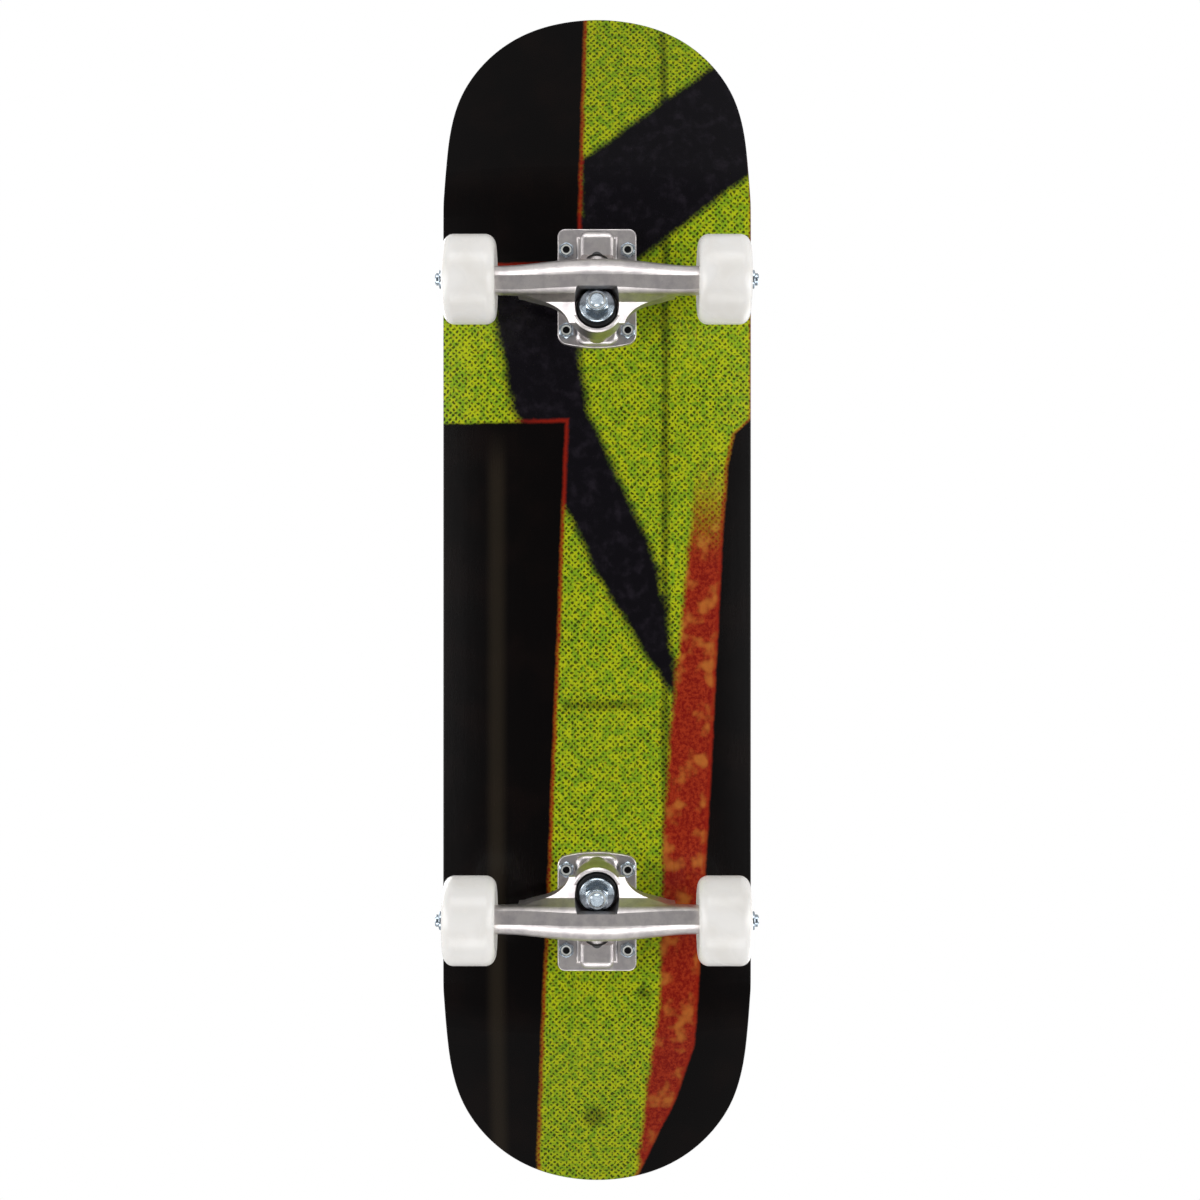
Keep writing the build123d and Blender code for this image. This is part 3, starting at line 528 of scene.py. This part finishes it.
def turned_metal(name, light, dark, roughness, patch_size=2.5):
    """Plated or bare steel with faint tool marks and uneven plating."""
    p = Paint(name)
    point = p.place()
    patch = p.noise(point, patch_size, 3.0, 0.6)
    fine = p.noise(point, 0.25, 2.0)
    colour = p.blend(p.between(patch, 0.4, 0.75), light, dark)
    shine = p.add(p.multiply(patch, 0.16), roughness)
    return p.set(
        Base_Color=colour, Metallic=1.0, Roughness=shine, Normal=p.bumps(fine, 0.008)
    )


def black_bolt():
    """Black oxide steel, rubbed a little brighter in spots."""
    p = Paint("black_bolt")
    point = p.place()
    rub = p.between(p.noise(point, 1.2, 4.0, 0.7), 0.55, 0.8)
    colour = p.blend(p.multiply(rub, 0.5), BLACK_STEEL, BLACK_STEEL_RUBBED)
    roughness = p.subtract(0.42, p.multiply(rub, 0.12))
    grain = p.noise(point, 0.3, 2.0)
    return p.set(
        Base_Color=colour, Metallic=0.85, Roughness=roughness, Normal=p.bumps(grain, 0.01)
    )


# ---- Plastics, rubber and urethane --------------------------------------------------


def plastic(name, colour, second, roughness, bump=0.01):
    """A moulded plastic or rubber: two close tones in patches and a fine grain."""
    p = Paint(name)
    point = p.place()
    patch = p.noise(point, 4.0, 3.0, 0.6)
    grain = p.noise(point, 0.4, 2.0)
    tone = p.blend(p.between(patch, 0.45, 0.8), colour, second)
    shine = p.add(p.multiply(patch, 0.18), roughness)
    return p.set(Base_Color=tone, Roughness=shine, Normal=p.bumps(grain, bump))


def wheel_urethane():
    """Poured urethane: creamy white, glossy faces and a slightly ground tread."""
    p = Paint("wheel_urethane")
    point = p.place()
    cloud = p.between(p.noise(point, 22.0, 2.0), 0.35, 0.75)
    speck = p.multiply(p.between(p.cells(point, 6.0), 0.05, 0.02), 0.25)
    colour = p.blend(cloud, URETHANE, URETHANE_SHADE)
    colour = p.blend(speck, colour, URETHANE_SPECK)
    ground_marks = p.noise(p.stretch(point, (1.0, 3.0, 1.0)), 0.6, 2.0)
    roughness = p.add(p.multiply(cloud, 0.08), p.add(p.multiply(ground_marks, 0.08), 0.2))
    return p.set(
        Base_Color=colour,
        Roughness=roughness,
        Normal=p.bumps(ground_marks, 0.006),
        Subsurface_Weight=0.12,
        Subsurface_Radius=(0.004, 0.0035, 0.003),
        Subsurface_Scale=1.0,
    )


def make_materials():
    """Every material, by the record's slot name."""
    return {
        "printed_maple": printed_maple(),
        "natural_maple": wood("natural_maple", MAPLE_LIGHT, MAPLE_DARK),
        "dyed_maple": wood("dyed_maple", DYED_LIGHT, DYED_DARK),
        "grip_tape": grip_tape(),
        "cast_aluminium": cast_aluminium(),
        "black_bolt": black_bolt(),
        "nylon": plastic("nylon", NYLON, NYLON_SHADE, 0.35),
        "cup_plastic": plastic("cup_plastic", CUP_PLASTIC, CUP_DUST, 0.4),
        "bushing_rubber": plastic("bushing_rubber", RUBBER, RUBBER_DUST, 0.34, 0.02),
        "bearing_shield": turned_metal("bearing_shield", SHIELD, SHIELD_DARK, 0.26),
        "wheel_urethane": wheel_urethane(),
        "bearing_steel": turned_metal(
            "bearing_steel", BEARING_STEEL, BEARING_STEEL_DARK, 0.14
        ),
        "kingpin_steel": turned_metal("kingpin_steel", ZINC, ZINC_DARK, 0.2),
        "zinc_plated_steel": turned_metal("zinc_plated_steel", ZINC, ZINC_DARK, 0.17, 1.6),
    }


def paint_frame(nodes, record, materials):
    """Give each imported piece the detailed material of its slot."""
    for part in record["subparts"]:
        piece = nodes[part["node"]]
        piece.data.materials.clear()
        piece.data.materials.append(materials[part["material_slot"]])


# ---- Bushings -----------------------------------------------------------------------


def bushing_profile(start, end, neck_at_start, neck_radius, radius):
    """(radius, station) points of a bushing that bulges a little under its load."""
    length = end - start
    side_start = NECK_HEIGHT + FOOT_ROUND
    side_length = length - side_start - RIM_ROUND
    neck = [
        (KINGPIN_RADIUS, 0.0),
        (neck_radius - NECK_CHAMFER, 0.0),
        (neck_radius, NECK_CHAMFER),
        (neck_radius, NECK_HEIGHT),
        (neck_radius + NECK_FLARE, NECK_HEIGHT + NECK_CHAMFER),
    ]
    side = []
    for step in range(BULGE_STEPS + 1):
        share = step / BULGE_STEPS
        hollow = BULGE_DEPTH * (1 - math.sin(math.pi * share))
        side.append((radius - hollow, side_start + side_length * share))
    last_radius = side[-1][0]
    rim = [(last_radius - RIM_INSET, length), (KINGPIN_RADIUS, length)]
    outline = neck + side + rim
    if neck_at_start:
        return [(r, start + h) for r, h in outline]
    return [(r, end - h) for r, h in outline]


def lathe(name, outline):
    """A closed mesh turned about Z from (radius, height) points in millimetres."""
    mesh = bpy.data.meshes.new(name)
    shape = bmesh.new()
    rings = []
    for number in range(BUSHING_SEGMENTS):
        angle = 2 * math.pi * number / BUSHING_SEGMENTS
        rings.append(
            [
                shape.verts.new((r * math.cos(angle) * MM, r * math.sin(angle) * MM, h * MM))
                for r, h in outline
            ]
        )
    for number, ring in enumerate(rings):
        following = rings[(number + 1) % BUSHING_SEGMENTS]
        for index in range(len(outline)):
            after = (index + 1) % len(outline)
            corners = (ring[index], following[index], following[after], ring[after])
            shape.faces.new(corners)
    bmesh.ops.recalc_face_normals(shape, faces=shape.faces)
    for face in shape.faces:
        face.smooth = True
    shape.to_mesh(mesh)
    shape.free()
    mesh.set_sharp_from_angle(angle=SHARP_EDGE)
    piece = bpy.data.objects.new(name, mesh)
    bpy.context.scene.collection.objects.link(piece)
    return piece


def kingpin_frame(end):
    """The matrix that puts a shape turned about Z on a truck's kingpin."""
    lean = Matrix.Rotation(math.pi - KINGPIN_LEAN, 4, "Y")
    foot = Matrix.Translation(Vector((TRUCK_X + KINGPIN_FOOT_X, 0, DECK_BOTTOM)) * MM)
    turn = Matrix.Rotation(0 if end == "front" else math.pi, 4, "Z")
    return turn @ foot @ lean


def make_bushings(end, material):
    """Both rubber bushings of a truck, turned about its kingpin."""
    frame_matrix = kingpin_frame(end)
    bottom = bushing_profile(
        BOTTOM_BUSHING_START,
        BOTTOM_BUSHING_END,
        True,
        BOTTOM_NECK_RADIUS,
        BOTTOM_BUSHING_RADIUS,
    )
    top = bushing_profile(
        TOP_BUSHING_START, TOP_BUSHING_END, False, TOP_NECK_RADIUS, TOP_BUSHING_RADIUS
    )
    pieces = (
        ("bottom", bottom, BOTTOM_BUSHING_START + NECK_HEIGHT, BOTTOM_BUSHING_END),
        ("top", top, TOP_BUSHING_END - NECK_HEIGHT, TOP_BUSHING_START),
    )
    for place, outline, held, free in pieces:
        piece = lathe(f"{end}_{place}_bushing_rubber", outline)
        piece.data.materials.append(material)
        piece.matrix_world = frame_matrix
        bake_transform(piece)
        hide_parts(f"{end}_{place}_bushing")


# ---- Stage, light and camera ----------------------------------------------------------


def make_floor():
    """A plain pale floor that shows from above and lets light and sight through from below."""
    bpy.ops.mesh.primitive_plane_add(size=FLOOR_SIZE, location=(0, 0, 0))
    floor = bpy.context.object
    floor.name = "floor"
    p = Paint("floor")
    mottle = p.between(p.noise(p.place(), FLOOR_MOTTLE, 2.0), 0.2, 0.8)
    colour = p.blend(mottle, FLOOR_GREY, FLOOR_SHADE)
    p.set(Base_Color=colour, Roughness=0.8)
    p.set(Emission_Color=(1, 1, 1, 1), Emission_Strength=FLOOR_GLOW)
    geometry = p.nodes.new("ShaderNodeNewGeometry")
    clear = p.nodes.new("ShaderNodeBsdfTransparent")
    choose = p.nodes.new("ShaderNodeMixShader")
    p.links.new(geometry.outputs["Backfacing"], choose.inputs["Fac"])
    p.links.new(p.shader.outputs[0], choose.inputs[1])
    p.links.new(clear.outputs[0], choose.inputs[2])
    p.links.new(choose.outputs[0], p.nodes["Material Output"].inputs["Surface"])
    floor.data.materials.append(p.material)
    floor.visible_shadow = False
    floor.visible_diffuse = False
    floor.visible_glossy = False


def make_world():
    """A studio that is white where the camera looks past the board and grey in reflections."""
    world = bpy.data.worlds.new("studio")
    world.use_nodes = True
    bpy.context.scene.world = world
    nodes = world.node_tree.nodes
    links = world.node_tree.links
    nodes.clear()
    output = nodes.new("ShaderNodeOutputWorld")
    seen = nodes.new("ShaderNodeBackground")
    seen.inputs["Color"].default_value = (1, 1, 1, 1)
    light = nodes.new("ShaderNodeBackground")
    light.inputs["Strength"].default_value = 1.0
    path = nodes.new("ShaderNodeLightPath")
    choose = nodes.new("ShaderNodeMixShader")
    direction = nodes.new("ShaderNodeTexCoord")
    height = nodes.new("ShaderNodeSeparateXYZ")
    ramp = nodes.new("ShaderNodeMapRange")
    ramp.inputs["From Min"].default_value = -1.0
    ramp.inputs["From Max"].default_value = 1.0
    tone = nodes.new("ShaderNodeValToRGB")
    tone.color_ramp.interpolation = "EASE"
    elements = tone.color_ramp.elements
    while len(elements) < len(STUDIO_GREYS):
        elements.new(0.5)
    for element, (position, grey) in zip(elements, STUDIO_GREYS):
        element.position = position
        element.color = (grey, grey, grey, 1)
    links.new(direction.outputs["Generated"], height.inputs[0])
    links.new(height.outputs["Z"], ramp.inputs["Value"])
    links.new(ramp.outputs["Result"], tone.inputs["Fac"])
    links.new(tone.outputs["Color"], light.inputs["Color"])
    links.new(path.outputs["Is Camera Ray"], choose.inputs["Fac"])
    links.new(light.outputs[0], choose.inputs[1])
    links.new(seen.outputs[0], choose.inputs[2])
    links.new(choose.outputs[0], output.inputs["Surface"])


def soft_box(name, place, size_x, size_y, power, shaded=()):
    """A rectangular light that faces the board but doesn't reach the shaded pieces.

    Its place and its two sides are in metres, and its power is in watts.
    """
    data = bpy.data.lights.new(name, "AREA")
    data.shape = "RECTANGLE"
    data.size = size_x
    data.size_y = size_y
    data.energy = power
    lamp = bpy.data.objects.new(name, data)
    bpy.context.scene.collection.objects.link(lamp)
    lamp.location = place
    lamp.rotation_mode = "QUATERNION"
    lamp.rotation_quaternion = (Vector(LIGHT_AIM) - Vector(place)).to_track_quat("-Z", "X")
    lamp.visible_camera = False
    if shaded:
        screen = bpy.data.collections.new(f"{name}_screen")
        lamp.light_linking.receiver_collection = screen
        for piece in shaded:
            screen.objects.link(piece)
        for entry in screen.collection_objects:
            entry.light_linking.link_state = "EXCLUDE"


def make_lights(print_ply):
    """Long soft boxes beside the board, below it for its underside and above for its top."""
    for name, side in (("below_left", -1), ("below_right", 1)):
        soft_box(name, (0.0, side * 1.7, -0.55), 2.4, 0.9, SIDE_POWER)
    for name, side in (("below_nose", 1), ("below_tail", -1)):
        soft_box(name, (side * 1.15, 0.0, -0.8), 0.6, 1.6, END_POWER, [print_ply])
    soft_box("above_key", (0.5, -1.3, 1.8), 1.4, 1.4, KEY_POWER)
    soft_box("above_fill", (-0.8, 1.4, 1.3), 1.6, 1.2, FILL_POWER)


def make_camera():
    """Straight below the board, looking up, with the nose at the top of the picture."""
    data = bpy.data.cameras.new("camera")
    data.sensor_width = SENSOR_WIDTH
    data.lens = CAMERA_LENS
    data.clip_end = CAMERA_REACH
    camera = bpy.data.objects.new("camera", data)
    bpy.context.scene.collection.objects.link(camera)
    right = Vector((0, 1, 0))
    up = Vector((1, 0, 0))
    back = Vector((0, 0, -1))
    turn = Matrix((right, up, back)).transposed().to_4x4()
    place = Vector((0, CAMERA_SHIFT_Y, DECK_BOTTOM - CAMERA_DISTANCE)) * MM
    camera.matrix_world = Matrix.Translation(place) @ turn
    bpy.context.scene.camera = camera


def set_look():
    """Colours as they are, with no film look over them."""
    bpy.context.scene.view_settings.view_transform = "Standard"
    bpy.context.scene.view_settings.look = "None"


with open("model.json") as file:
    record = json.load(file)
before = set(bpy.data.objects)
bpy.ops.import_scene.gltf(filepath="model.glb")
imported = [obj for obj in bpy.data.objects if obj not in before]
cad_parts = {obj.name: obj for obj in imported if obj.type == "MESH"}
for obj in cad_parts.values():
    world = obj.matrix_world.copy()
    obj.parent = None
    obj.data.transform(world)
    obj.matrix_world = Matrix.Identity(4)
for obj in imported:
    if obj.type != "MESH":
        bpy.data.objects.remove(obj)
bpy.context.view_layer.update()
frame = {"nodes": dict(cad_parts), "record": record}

materials = make_materials()
paint_frame(frame["nodes"], frame["record"], materials)
for truck_end in ("front", "rear"):
    make_bushings(truck_end, materials["bushing_rubber"])
make_floor()
make_world()
make_lights(frame["nodes"]["ply_1"])
make_camera()
set_look()
